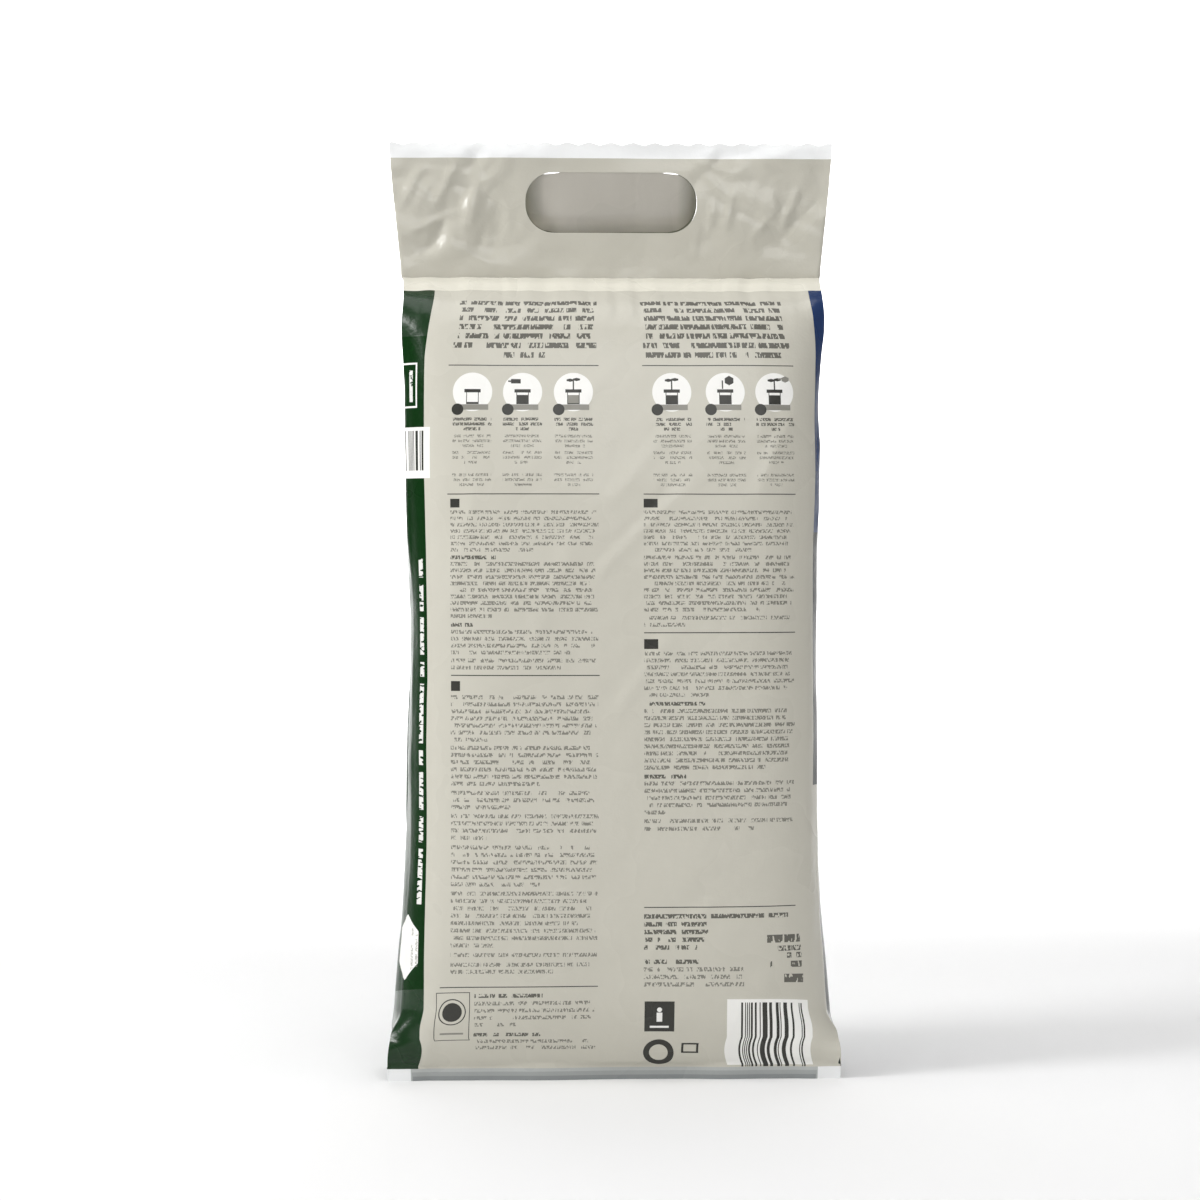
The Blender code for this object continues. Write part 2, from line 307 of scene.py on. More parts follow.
# The mesh: one quad for each step of film, closed flat across the foot and the top.
film_mesh = bmesh.new()
film_map = film_mesh.loops.layers.uv.new("film")
side_middle = panel_steps + gusset_steps
whole_half = 2 * (panel_half + gusset_half)
rows = [[film_mesh.verts.new(point * MM) for point in ring] for ring in film]
for j in range(row_count - 1):
    for k in range(column_count):
        after = (k + 1) % column_count
        face = film_mesh.faces.new((rows[j][k], rows[j][after], rows[j + 1][after], rows[j + 1][k]))
        u_low = -whole_half if k == 2 * side_middle else film_u[k]
        u_high = film_u[after]
        for loop, (u, v) in zip(face.loops, ((u_low, film_v[j]), (u_high, film_v[j]),
                                             (u_high, film_v[j + 1]), (u_low, film_v[j + 1]))):
            loop[film_map].uv = (u * MM, v * MM)
for edge_row, v, turned in ((rows[0], film_v[0], False), (rows[-1], film_v[-1], True)):
    for k in range(-side_middle, side_middle):
        corners = [edge_row[k % column_count], edge_row[(k + 1) % column_count],
                   edge_row[(2 * side_middle - k - 1) % column_count],
                   edge_row[(2 * side_middle - k) % column_count]]
        corners = [corner for n, corner in enumerate(corners) if corner not in corners[:n]]
        face = film_mesh.faces.new(corners if turned else corners[::-1])
        for loop in face.loops:
            loop[film_map].uv = (0.0, v * MM)
bmesh.ops.recalc_face_normals(film_mesh, faces=film_mesh.faces)
film_data = bpy.data.meshes.new("film_bag")
film_mesh.to_mesh(film_data)
film_mesh.free()
bag = bpy.data.objects.new("film_bag", film_data)
bpy.context.scene.collection.objects.link(bag)

# Handle slot: punched through both sheets of the header, round ended, 92 x 32 mm,
# with a clean cut edge and no patch round it.
slot_top, slot_low, slot_half, slot_round = 483.6, 451.2, 46.2, 15.2
outline = []
for quarter, (sx, sz) in enumerate(((1, 1), (-1, 1), (-1, -1), (1, -1))):
    for step in range(15):
        angle = math.radians(90 * quarter + 90 * step / 14)
        outline.append((sx * (slot_half - slot_round) + slot_round * math.cos(angle),
                        (slot_top + slot_low) / 2 + sz * (slot_top - slot_low - 2 * slot_round) / 2
                        + slot_round * math.sin(angle)))
punch_mesh = bmesh.new()
punch_mesh.loops.layers.uv.new("film")
punch_face = punch_mesh.faces.new([punch_mesh.verts.new((x * MM, -0.014, z * MM)) for x, z in outline])
punched = bmesh.ops.extrude_face_region(punch_mesh, geom=[punch_face])["geom"]
bmesh.ops.translate(punch_mesh, verts=[v for v in punched if isinstance(v, bmesh.types.BMVert)],
                    vec=(0, 0.028, 0))
bmesh.ops.recalc_face_normals(punch_mesh, faces=punch_mesh.faces)
punch_data = bpy.data.meshes.new("punch")
punch_mesh.to_mesh(punch_data)
punch_mesh.free()
punch = bpy.data.objects.new("punch", punch_data)
bpy.context.scene.collection.objects.link(punch)
cut = bag.modifiers.new("Slot", "BOOLEAN")
cut.operation = "DIFFERENCE"
cut.solver = "EXACT"
cut.object = punch
bpy.context.view_layer.update()
bag.data = bpy.data.meshes.new_from_object(bag.evaluated_get(bpy.context.evaluated_depsgraph_get()))
bag.modifiers.clear()
bpy.data.objects.remove(punch, do_unlink=True)

# Flaps: the piece punched from each sheet, still hinged along 56 mm of the slot's
# top and pushed back a little. Their free ends curl further back than their middle.
hinge_row = int(np.argmin(np.abs(height[:, 0] - (slot_top + 1))))
front_columns = np.argsort(film_u[np.abs(film_u) < 100])
hinge_x = film[hinge_row, np.abs(film_u) < 100, 0][front_columns]
hinge_y = film[hinge_row, np.abs(film_u) < 100, 1][front_columns] + 0.35
slot_v = float(np.interp(slot_top, front_line[:, 1], film_v))
flaps = []
for sheet, (behind, lower_by, wider_by, lean) in enumerate(((0.0, 0.2, 0.0, 13), (0.9, 1.9, 0.7, 16))):
    flap_mesh = bmesh.new()
    flap_map = flap_mesh.loops.layers.uv.new("film")
    flap_rows = []
    flap_height = slot_top - slot_low - 0.3
    for down in np.concatenate([[-1.2, -0.4], np.linspace(0.15, flap_height, 34)]):
        from_end = min(down, flap_height - down)
        if down <= 0.15:
            half = slot_half - slot_round - 3.0
        else:
            dip = max(0.0, slot_round - from_end)
            half = slot_half - 0.3 - slot_round + math.sqrt(max(slot_round ** 2 - dip ** 2, 0.0)) + wider_by
        row = []
        for t in np.linspace(-1, 1, 81):
            x = t * half
            end = max(0.0, (abs(x) - 24) / 22)
            fall = max(down, 0.0)
            tilt = math.radians(lean + 7 * end ** 1.5 + 1.5 * math.sin(x / 12))
            y = float(np.interp(x, hinge_x, hinge_y)) + fall * math.sin(tilt) + behind * min(fall, 4) / 4
            y += 0.5 * math.sin(x / 8.5 + 1) * fall / flap_height + 2.4 * end ** 2 * fall / flap_height
            y += 1.6 * window(down / flap_height, 0.93, 1.1, 0.25)
            z = slot_top - fall * math.cos(tilt) - lower_by * fall / flap_height
            if down <= 0:
                z = slot_top - down
            row.append((flap_mesh.verts.new((x * MM, y * MM, z * MM)), x, slot_v + 200 * (sheet + 1) - down))
        flap_rows.append(row)
    for upper, lower in zip(flap_rows, flap_rows[1:]):
        for k in range(80):
            corners = (lower[k], lower[k + 1], upper[k + 1], upper[k])
            face = flap_mesh.faces.new([c[0] for c in corners])
            for loop, (_, u, v) in zip(face.loops, corners):
                loop[flap_map].uv = (u * MM, v * MM)
    flap_data = bpy.data.meshes.new("flap")
    flap_mesh.to_mesh(flap_data)
    flap_mesh.free()
    flap = bpy.data.objects.new("flap", flap_data)
    bpy.context.scene.collection.objects.link(flap)
    thick = flap.modifiers.new("Film", "SOLIDIFY")
    thick.thickness = 0.3 * MM
    thick.offset = 0
    bpy.context.view_layer.update()
    flap.data = bpy.data.meshes.new_from_object(flap.evaluated_get(bpy.context.evaluated_depsgraph_get()))
    flap.modifiers.clear()
    flaps.append(flap)
with bpy.context.temp_override(active_object=bag, selected_editable_objects=[bag] + flaps):
    bpy.ops.object.join()
bag.data.shade_smooth()
bag.data.set_sharp_from_angle(angle=math.radians(55))

# ---------------------------------------------------------------------------
# Printed PE film: inks over white film, satin, with small print in dark ink as
# greeked lines. All of it is laid out in mm on the film's own coordinates.


def height_to_film(z):
    return float(np.interp(z, front_line[:, 1], film_v))


# Node groups for a box and for an upright hexagon: 1 inside, 0 outside.
box_group = bpy.data.node_groups.new("Printed box", "ShaderNodeTree")
for name, kind in (("Point", "NodeSocketVector"), ("Middle", "NodeSocketVector"),
                   ("Half", "NodeSocketVector")):
    box_group.interface.new_socket(name, in_out="INPUT", socket_type=kind)
box_group.interface.new_socket("Mask", in_out="OUTPUT", socket_type="NodeSocketFloat")
given = add(box_group, "NodeGroupInput")
offset = add(box_group, "ShaderNodeVectorMath", {0: given.outputs["Point"], 1: given.outputs["Middle"]},
             operation="SUBTRACT")
size = add(box_group, "ShaderNodeVectorMath", {0: offset.outputs[0]}, operation="ABSOLUTE")
over = add(box_group, "ShaderNodeVectorMath", {0: size.outputs[0], 1: given.outputs["Half"]},
           operation="SUBTRACT")
parts = add(box_group, "ShaderNodeSeparateXYZ", {0: over.outputs[0]})
most = add(box_group, "ShaderNodeMath", {0: parts.outputs[0], 1: parts.outputs[1]}, operation="MAXIMUM")
inside = add(box_group, "ShaderNodeMath", {0: most.outputs[0], 1: 0.0}, operation="LESS_THAN")
add(box_group, "NodeGroupOutput", {"Mask": inside.outputs[0]})

hexagon_group = bpy.data.node_groups.new("Printed hexagon", "ShaderNodeTree")
for name, kind in (("Point", "NodeSocketVector"), ("Middle", "NodeSocketVector"),
                   ("Half", "NodeSocketVector")):
    hexagon_group.interface.new_socket(name, in_out="INPUT", socket_type=kind)
hexagon_group.interface.new_socket("Mask", in_out="OUTPUT", socket_type="NodeSocketFloat")
given = add(hexagon_group, "NodeGroupInput")
offset = add(hexagon_group, "ShaderNodeVectorMath", {0: given.outputs["Point"], 1: given.outputs["Middle"]},
             operation="SUBTRACT")
share = add(hexagon_group, "ShaderNodeVectorMath", {0: offset.outputs[0], 1: given.outputs["Half"]},
            operation="DIVIDE")
size = add(hexagon_group, "ShaderNodeVectorMath", {0: share.outputs[0]}, operation="ABSOLUTE")
parts = add(hexagon_group, "ShaderNodeSeparateXYZ", {0: size.outputs[0]})
slant = add(hexagon_group, "ShaderNodeMath", {0: parts.outputs[0], 1: 0.5, 2: parts.outputs[1]},
            operation="MULTIPLY_ADD")
most = add(hexagon_group, "ShaderNodeMath", {0: parts.outputs[0], 1: slant.outputs[0]}, operation="MAXIMUM")
inside = add(hexagon_group, "ShaderNodeMath", {0: most.outputs[0], 1: 1.0}, operation="LESS_THAN")
add(hexagon_group, "NodeGroupOutput", {"Mask": inside.outputs[0]})

# Greeked lines: rows of broken bars at a text's leading, with word gaps and a short last line.
text_group = bpy.data.node_groups.new("Greeked lines", "ShaderNodeTree")
text_sockets = ("Left", "Width", "First line", "Leading", "Lines", "Last width", "Letter height", "Ink",
                "Centred")
text_group.interface.new_socket("Point", in_out="INPUT", socket_type="NodeSocketVector")
for name in text_sockets:
    text_group.interface.new_socket(name, in_out="INPUT", socket_type="NodeSocketFloat")
text_group.interface.new_socket("Mask", in_out="OUTPUT", socket_type="NodeSocketFloat")
given = add(text_group, "NodeGroupInput")
place = add(text_group, "ShaderNodeSeparateXYZ", {0: given.outputs["Point"]})
down = add(text_group, "ShaderNodeMath", {0: given.outputs["First line"], 1: place.outputs[1]},
           operation="SUBTRACT")
rows_down = add(text_group, "ShaderNodeMath", {0: down.outputs[0], 1: given.outputs["Leading"]},
                operation="DIVIDE")
shifted = add(text_group, "ShaderNodeMath", {0: rows_down.outputs[0], 1: 0.5}, operation="ADD")
line = add(text_group, "ShaderNodeMath", {0: shifted.outputs[0]}, operation="FLOOR")
within = add(text_group, "ShaderNodeMath", {0: rows_down.outputs[0], 1: line.outputs[0]},
             operation="SUBTRACT")
off_line = add(text_group, "ShaderNodeMath", {0: within.outputs[0], 1: given.outputs["Leading"]},
               operation="MULTIPLY")
from_line = add(text_group, "ShaderNodeMath", {0: off_line.outputs[0]}, operation="ABSOLUTE")
doubled = add(text_group, "ShaderNodeMath", {0: from_line.outputs[0], 1: 2.0}, operation="MULTIPLY")
on_line = add(text_group, "ShaderNodeMath", {0: doubled.outputs[0], 1: given.outputs["Letter height"]},
              operation="LESS_THAN")
started = add(text_group, "ShaderNodeMath", {0: line.outputs[0], 1: -0.5}, operation="GREATER_THAN")
last_line = add(text_group, "ShaderNodeMath", {0: given.outputs["Lines"], 1: 1.0}, operation="SUBTRACT")
is_last = add(text_group, "ShaderNodeMath", {0: line.outputs[0], 1: last_line.outputs[0], 2: 0.5},
              operation="COMPARE")
before_end = add(text_group, "ShaderNodeMath", {0: line.outputs[0], 1: last_line.outputs[0]},
                 operation="SUBTRACT")
not_ended = add(text_group, "ShaderNodeMath", {0: before_end.outputs[0], 1: 0.5}, operation="LESS_THAN")
line_place = add(text_group, "ShaderNodeMath", {0: line.outputs[0], 1: given.outputs["First line"]},
                 operation="ADD")
rag = add(text_group, "ShaderNodeTexWhiteNoise", {"W": line_place.outputs[0]}, noise_dimensions="1D")
rag_size = add(text_group, "ShaderNodeMath", {0: rag.outputs[0], 1: given.outputs["Width"]},
               operation="MULTIPLY")
rag_less = add(text_group, "ShaderNodeMath", {0: rag_size.outputs[0], 1: -0.07, 2: given.outputs["Width"]},
               operation="MULTIPLY_ADD")
full_width = add(text_group, "ShaderNodeMix",
                 {0: is_last.outputs[0], 2: rag_less.outputs[0], 3: given.outputs["Last width"]},
                 data_type="FLOAT")
right_by = add(text_group, "ShaderNodeMath", {0: place.outputs[0], 1: given.outputs["Left"]},
               operation="SUBTRACT")
slack = add(text_group, "ShaderNodeMath", {0: given.outputs["Width"], 1: full_width.outputs[0]},
            operation="SUBTRACT")
half_slack = add(text_group, "ShaderNodeMath", {0: slack.outputs[0], 1: given.outputs["Centred"]},
                 operation="MULTIPLY")
placed = add(text_group, "ShaderNodeMath", {0: right_by.outputs[0], 1: half_slack.outputs[0]},
             operation="SUBTRACT")
after_left = add(text_group, "ShaderNodeMath", {0: placed.outputs[0], 1: 0.0}, operation="GREATER_THAN")
to_right = add(text_group, "ShaderNodeMath", {0: placed.outputs[0], 1: full_width.outputs[0]},
               operation="LESS_THAN")
line_high = add(text_group, "ShaderNodeMath", {0: line_place.outputs[0], 1: 7.31}, operation="MULTIPLY")
letter_place = add(text_group, "ShaderNodeCombineXYZ", {0: place.outputs[0], 1: line_high.outputs[0]})
word_scale = add(text_group, "ShaderNodeMath", {0: 0.62, 1: given.outputs["Letter height"]},
                 operation="DIVIDE")
words = add(text_group, "ShaderNodeTexNoise",
            {"Vector": letter_place.outputs[0], "Scale": word_scale.outputs[0], "Detail": 0.0},
            noise_dimensions="2D")
word = add(text_group, "ShaderNodeMath", {0: words.outputs[0], 1: 0.36}, operation="GREATER_THAN")
letter_fine = add(text_group, "ShaderNodeMath", {0: within.outputs[0], 1: 2.1, 2: line_high.outputs[0]},
                  operation="MULTIPLY_ADD")
letter_at = add(text_group, "ShaderNodeCombineXYZ", {0: place.outputs[0], 1: letter_fine.outputs[0]})
letter_scale = add(text_group, "ShaderNodeMath", {0: 2.3, 1: given.outputs["Letter height"]},
                   operation="DIVIDE")
letters = add(text_group, "ShaderNodeTexNoise",
              {"Vector": letter_at.outputs[0], "Scale": letter_scale.outputs[0], "Detail": 1.0},
              noise_dimensions="2D")
letter = add(text_group, "ShaderNodeMath", {0: letters.outputs[0], 1: given.outputs["Ink"]},
             operation="GREATER_THAN")
held = on_line.outputs[0]
for other in (started, not_ended, after_left, to_right, word, letter):
    held = add(text_group, "ShaderNodeMath", {0: held, 1: other.outputs[0]}, operation="MULTIPLY").outputs[0]
add(text_group, "NodeGroupOutput", {"Mask": held})

# Finish shared by every printed area: satin film with a faint calender grain.
finish = bpy.data.node_groups.new("PE film finish", "ShaderNodeTree")
for name, kind in (("Colour", "NodeSocketColor"), ("Point", "NodeSocketVector"),
                   ("Gloss", "NodeSocketFloat")):
    finish.interface.new_socket(name, in_out="INPUT", socket_type=kind)
finish.interface.new_socket("Film", in_out="OUTPUT", socket_type="NodeSocketShader")
given = add(finish, "NodeGroupInput")
grain = add(finish, "ShaderNodeTexNoise", {"Vector": given.outputs["Point"], "Scale": 0.16, "Detail": 4.0,
                                           "Roughness": 0.6}, noise_dimensions="2D")
fine = add(finish, "ShaderNodeBump", {"Height": grain.outputs[0], "Strength": 0.5, "Distance": 0.0005})
haze = add(finish, "ShaderNodeTexNoise", {"Vector": given.outputs["Point"], "Scale": 0.02, "Detail": 2.0},
           noise_dimensions="2D")
satin = add(finish, "ShaderNodeMapRange", {0: haze.outputs[0], 1: 0.3, 2: 0.7, 3: 0.24, 4: 0.34})
coat = add(finish, "ShaderNodeMath", {0: given.outputs["Gloss"], 1: 0.2}, operation="MULTIPLY")
shine = add(finish, "ShaderNodeMath", {0: given.outputs["Gloss"], 1: 0.5}, operation="MULTIPLY")
film_shader = add(finish, "ShaderNodeBsdfPrincipled",
                  {"Base Color": given.outputs["Colour"], "Roughness": satin.outputs[0],
                  "Normal": fine.outputs[0], "IOR": 1.30, "Specular IOR Level": shine.outputs[0],
                  "Coat Weight": coat.outputs[0], "Coat Roughness": 0.10, "Coat IOR": 1.35})
add(finish, "NodeGroupOutput", {"Film": film_shader.outputs[0]})

# Where the inks start and stop on the film, and the inks themselves.
header_low, header_high = height_to_film(426.6), height_to_film(491.2)
print_high, print_low = height_to_film(418.5), height_to_film(6.4)
middle_v, half_v = (print_high + print_low) / 2, (print_high - print_low) / 2
beige, green, blue, soot = "#c8c5b9", "#0b2f0e", "#1c3460", "#141816"
white, dark, grey, ink = "#f3f2ee", "#3a3a36", "#8d8b83", "#45443e"


def printed_film(name, shapes, paragraphs, barcode=None, rim=None, gloss=1.0):
    """Film printed with flat shapes, laid one over another, and with small print over them.
    A shape is a disc (u, v, radius, colour), a box (u, v, half width, half height, colour) or,
    with a 0 before its colour, an upright hexagon. A paragraph is the values of text_sockets,
    and one with a colour after them reads up the film. A rim is painted shade: it darkens what lies beyond a
    box."""
    material = bpy.data.materials.new(name)
    material.use_nodes = True
    tree = material.node_tree
    tree.nodes.remove(tree.nodes["Principled BSDF"])
    flat_map = add(tree, "ShaderNodeUVMap", uv_map="film")
    point = add(tree, "ShaderNodeVectorMath", {0: flat_map.outputs[0], 1: (1000, 1000, 0)},
                operation="MULTIPLY").outputs[0]
    turned = add(tree, "ShaderNodeVectorRotate", {"Vector": point, "Angle": -math.pi / 2},
                 rotation_type="Z_AXIS").outputs[0]
    place = add(tree, "ShaderNodeSeparateXYZ", {0: point})
    colour = None
    for shape in shapes:
        if len(shape) != 4:
            group = add(tree, "ShaderNodeGroup", node_tree=box_group if len(shape) == 5 else hexagon_group)
            tree.links.new(point, group.inputs["Point"])
            group.inputs["Middle"].default_value = (shape[0], shape[1], 0)
            group.inputs["Half"].default_value = (shape[2], shape[3], 1)
            mask = group.outputs[0]
        else:
            gap = add(tree, "ShaderNodeVectorMath", {0: point, 1: (shape[0], shape[1], 0)},
                      operation="DISTANCE")
            mask = add(tree, "ShaderNodeMath", {0: gap.outputs["Value"], 1: shape[2]},
                       operation="LESS_THAN").outputs[0]
        under = linear("#f0f1f1") if colour is None else colour
        colour = add(tree, "ShaderNodeMix", {0: mask, 6: under, 7: linear(shape[-1])},
                     data_type="RGBA").outputs[2]
    for paragraph in paragraphs:
        group = add(tree, "ShaderNodeGroup", node_tree=text_group)
        tree.links.new(turned if len(paragraph) > 9 else point, group.inputs["Point"])
        for socket, value in zip(text_sockets, paragraph):
            group.inputs[socket].default_value = value
        strength = 0.66 if paragraph[7] > 0.45 else 0.86
        softened = add(tree, "ShaderNodeMath", {0: group.outputs[0], 1: strength}, operation="MULTIPLY")
        letters_in = linear(paragraph[9] if len(paragraph) > 9 else ink)
        colour = add(tree, "ShaderNodeMix", {0: softened.outputs[0], 6: colour, 7: letters_in},
                     data_type="RGBA").outputs[2]
    if barcode:
        middle_u, middle_up, half_u_mm, half_v_mm, pitch = barcode
        bars = add(tree, "ShaderNodeMath", {0: place.outputs[0], 1: 1 / pitch}, operation="MULTIPLY")
        bar = add(tree, "ShaderNodeMath", {0: bars.outputs[0]}, operation="FLOOR")
        drawn = add(tree, "ShaderNodeTexWhiteNoise", {"W": bar.outputs[0]}, noise_dimensions="1D")
        black = add(tree, "ShaderNodeMath", {0: drawn.outputs[0], 1: 0.5}, operation="GREATER_THAN")
        group = add(tree, "ShaderNodeGroup", node_tree=box_group)
        tree.links.new(point, group.inputs["Point"])
        group.inputs["Middle"].default_value = (middle_u, middle_up, 0)
        group.inputs["Half"].default_value = (half_u_mm, half_v_mm, 1)
        mask = add(tree, "ShaderNodeMath", {0: black.outputs[0], 1: group.outputs[0]},
                   operation="MULTIPLY").outputs[0]
        colour = add(tree, "ShaderNodeMix", {0: mask, 6: colour, 7: linear(dark)},
                     data_type="RGBA").outputs[2]
    # Rim: painted shade, the colour darkened softly beyond the box, as shade towards a cut edge.
    if rim:
        middle, half, soft, rim_shade_colour = rim
        offset = add(tree, "ShaderNodeVectorMath", {0: point, 1: middle}, operation="SUBTRACT")
        size = add(tree, "ShaderNodeVectorMath", {0: offset.outputs[0]}, operation="ABSOLUTE")
        over = add(tree, "ShaderNodeVectorMath", {0: size.outputs[0], 1: half}, operation="SUBTRACT")
        held_in = add(tree, "ShaderNodeVectorMath", {0: over.outputs[0], 1: (0, 0, 0)}, operation="MAXIMUM")
        beyond = add(tree, "ShaderNodeVectorMath", {0: held_in.outputs[0]}, operation="LENGTH")
        near = add(tree, "ShaderNodeMapRange", {0: beyond.outputs["Value"], 1: 0.0, 2: soft, 3: 0.0, 4: 1.0})
        colour = add(tree, "ShaderNodeMix", {0: near.outputs[0], 6: colour, 7: linear(rim_shade_colour)},
                     data_type="RGBA").outputs[2]
    film_group = add(tree, "ShaderNodeGroup", node_tree=finish)
    tree.links.new(colour, film_group.inputs["Colour"])
    tree.links.new(point, film_group.inputs["Point"])
    film_group.inputs["Gloss"].default_value = gloss
    tree.links.new(film_group.outputs[0], tree.nodes["Material Output"].inputs["Surface"])
    return material


front_field = (4.7, (header_low + print_low) / 2, 106.7, (header_low - print_low) / 2, beige)
# The header's beige is painted shade: drawn darker than the body's beige, as the upright header stands in
# less light.
shaded_header_field = (0, (header_low + header_high) / 2, 400, (header_high - header_low) / 2, "#bfbcb0")
# The shoulder strip under the header is painted light: the body's beige drawn lighter where the film turns up
# towards the seal and catches the light from above.
lit_shoulder_field = (0, (header_low + print_high) / 2, 126, (header_low - print_high) / 2, "#e0ddd0")
left_field = (-168, middle_v, 67.0, half_v, green)
right_field = (150, middle_v, 46, half_v, blue)
right_foot = (150, (print_low + 290) / 2, 46, (290 - print_low) / 2, soot)


def rule(left, right, high):
    return ((left + right) / 2, high, (right - left) / 2, 0.25, dark)


def pictures(centres, first):
    """A row of round step pictures: a pot, then soil, a tool, a plant or a watering can."""
    drawn = []
    for n, centre in enumerate(centres, first):
        drawn += [(centre, 364.6, 10.4, white), (centre + 0.8, 356.4, 7.6, 1.5, grey),
                  (centre, 361.6, 3.3, 3.6, dark), (centre, 362.0, 2.9, 2.9, white),
                  (centre, 365.2, 4.3, 0.9, dark), (centre - 7.8, 355.2, 3.1, dark)]
        if n > 1:
            drawn.append((centre, 360.8, 2.9, 2.2, dark if n != 3 else grey))
        if n == 2:
            drawn += [(centre - 3.6, 370.4, 2.6, 1.2, dark), (centre - 6.3, 370.4, 1.4, 0.4, dark)]
        if n in (3, 4, 6):
            drawn += [(centre, 368.3, 0.35, 2.6, dark), (centre - 1.7, 371.0, 1.9, 0.9, 0, dark),
                      (centre + 1.7, 371.4, 1.9, 0.9, 0, dark)]
        if n == 5:
            drawn += [(centre + 2.2, 370.8, 2.3, 2.6, 0, dark), (centre - 1.4, 368.6, 0.35, 2.3, dark)]
        if n == 6:
            drawn += [(centre + 6.0, 371.6, 2.0, 1.7, 0, grey), (centre + 3.4, 371.9, 1.4, 0.35, grey)]
    return drawn


def captions(centres):
    rows = []
    for n, centre in enumerate(centres):
        rows.append((centre - 10.5, 21.0, 349.9, 2.6, 3, 9 - 2 * n, 1.7, 0.43, 0.5))
        rows.append((centre - 10.5, 21.0, 340.9, 2.6, 3, 12, 1.5, 0.49, 0.5))
        rows.append((centre - 10.5, 21.0, 332.1, 2.6, 3, 8, 1.5, 0.49, 0.5))
        rows.append((centre - 10.5, 21.0, 320.3, 2.6, 3, 13 - 3 * n, 1.5, 0.49, 0.5))
    return rows


left_steps, right_steps = (-75.8, -49.3, -22.3), (30.1, 58.6, 85.1)
light, bold = 0.49, 0.42
intro = height_to_film(383.4) + 31.8
areas = []

# Plain film: header, right gusset and whatever has no print on it.
areas.append(printed_film("PE film plain", [
    # The three grey bands across the foot are painted shade: the seal fin is drawn darker step by step
    # towards the floor across the middle, where it lies under the filled body. Its ends keep the pale film
    # colour.
    (0, height_to_film(7.4) - 30, 106, 30, "#b4b7b5"), (0, height_to_film(4.6) - 30, 105.5, 30, "#a0a3a2"),
    (0, height_to_film(2.4) - 30, 105, 30, "#8b8f8f"), left_field, right_field, right_foot,
    (104, (print_low + 156) / 2, 16.5, (156 - print_low) / 2, beige), front_field,
    lit_shoulder_field, shaded_header_field], [], gloss=1.5))
# Left gusset: outlined box, label block, a line of words up the film, and a badge.
areas.append(printed_film("PE film left gusset", [
    left_field, front_field,
    (-119.5, 368.5, 13.0, 12.2, white), (-119.5, 368.5, 12.0, 11.2, green),
    (-118.0, 332.3, 19.6, 13.6, white), (-116.5, 71.5, 10.5, 16.4, 0, white)],
    [(94.0, 182.0, 106.4, 6.0, 1, 182.0, 3.6, 0.40, 0, white),
     (359.5, 17.0, 111.2, 6.0, 1, 17.0, 3.0, 0.38, 0, white),
     (60.0, 22.0, 110.6, 3.4, 2, 18.0, 1.6, 0.46, 0, grey)],
    barcode=(-110.6, 333.4, 9.4, 10.6, 0.62), gloss=0.3))
# Front, upper left and right: welcome lines, step pictures and their captions.
areas.append(printed_film("PE film steps left",
                          [left_field, front_field, lit_shoulder_field, shaded_header_field] + pictures(left_steps, 1)
                          + [rule(-88.7, -8.8, 379.0)],
                          [(-87.5, 78.0, intro, 5.3, 7, 22.0, 3.1, 0.42, 0.5)] + captions(left_steps)))
areas.append(printed_film("PE film steps right",
                          [front_field, lit_shoulder_field, shaded_header_field] + pictures(right_steps, 4)
                          + [rule(14.5, 96.0, 379.0)],
                          [(14.8, 80.5, intro, 5.3, 7, 77.0, 3.1, 0.42, 0.5)] + captions(right_steps)))
# Front, middle: two columns of small print.
areas.append(printed_film("PE film text left",
                          [front_field, rule(-88.7, -8.8, 310.2), rule(-87.2, -8.8, 215.0),
                           (-84.7, 305.4, 2.5, 2.3, dark), (-84.7, 209.4, 2.5, 2.6, dark)], [
    (-87.2, 78.4, 300.6, 3.3, 7, 45, 1.9, light, 0), (-87.2, 78.4, 276.8, 3.3, 1, 24, 2.0, bold, 0),
    (-87.2, 78.4, 273.4, 3.42, 9, 22, 2.0, 0.46, 0), (-87.2, 78.4, 241.5, 3.3, 1, 12, 2.0, bold, 0),
    (-87.2, 78.4, 237.8, 3.6, 4, 63, 2.0, light, 0), (-87.2, 78.4, 222.8, 3.7, 2, 58, 2.0, light, 0),
    (-87.2, 78.4, 203.6, 3.7, 7, 20, 2.1, light, 0), (-87.2, 78.4, 177.1, 3.76, 6, 47, 2.1, 0.47, 0),
    (-87.2, 78.4, 153.5, 3.76, 3, 32, 2.1, light, 0), (-87.2, 78.4, 141.3, 3.8, 4, 19, 2.1, light, 0),
    (-87.2, 78.4, 124.9, 3.9, 6, 47, 2.1, light, 0), (-87.2, 78.4, 100.6, 3.92, 8, 23, 2.1, light, 0),
    (-87.2, 78.4, 68.1, 3.9, 1, 77, 2.1, light, 0)]))
areas.append(printed_film("PE film text right",
                          [front_field, rule(14.5, 96.0, 310.2), rule(14.5, 96.0, 237.3),
                           (18.2, 305.4, 3.7, 2.3, dark), (18.2, 231.4, 3.7, 2.6, dark)], [
    (14.5, 81.0, 300.6, 3.3, 7, 57, 1.9, light, 0), (14.5, 81.0, 276.8, 3.42, 9, 61, 2.0, 0.46, 0),
    (14.5, 81.0, 245.1, 3.6, 2, 24, 2.0, light, 0), (14.5, 81.0, 226.4, 3.62, 7, 34, 2.0, light, 0),
    (14.5, 81.0, 200.1, 3.7, 1, 32, 2.0, bold, 0), (14.5, 81.0, 196.3, 3.7, 9, 64, 2.1, 0.46, 0),
    (14.5, 81.0, 162.0, 3.7, 1, 22, 2.1, bold, 0), (14.5, 81.0, 158.4, 3.8, 5, 11, 2.1, 0.47, 0),
    (14.5, 81.0, 138.7, 4.1, 2, 58, 2.1, light, 0)]))
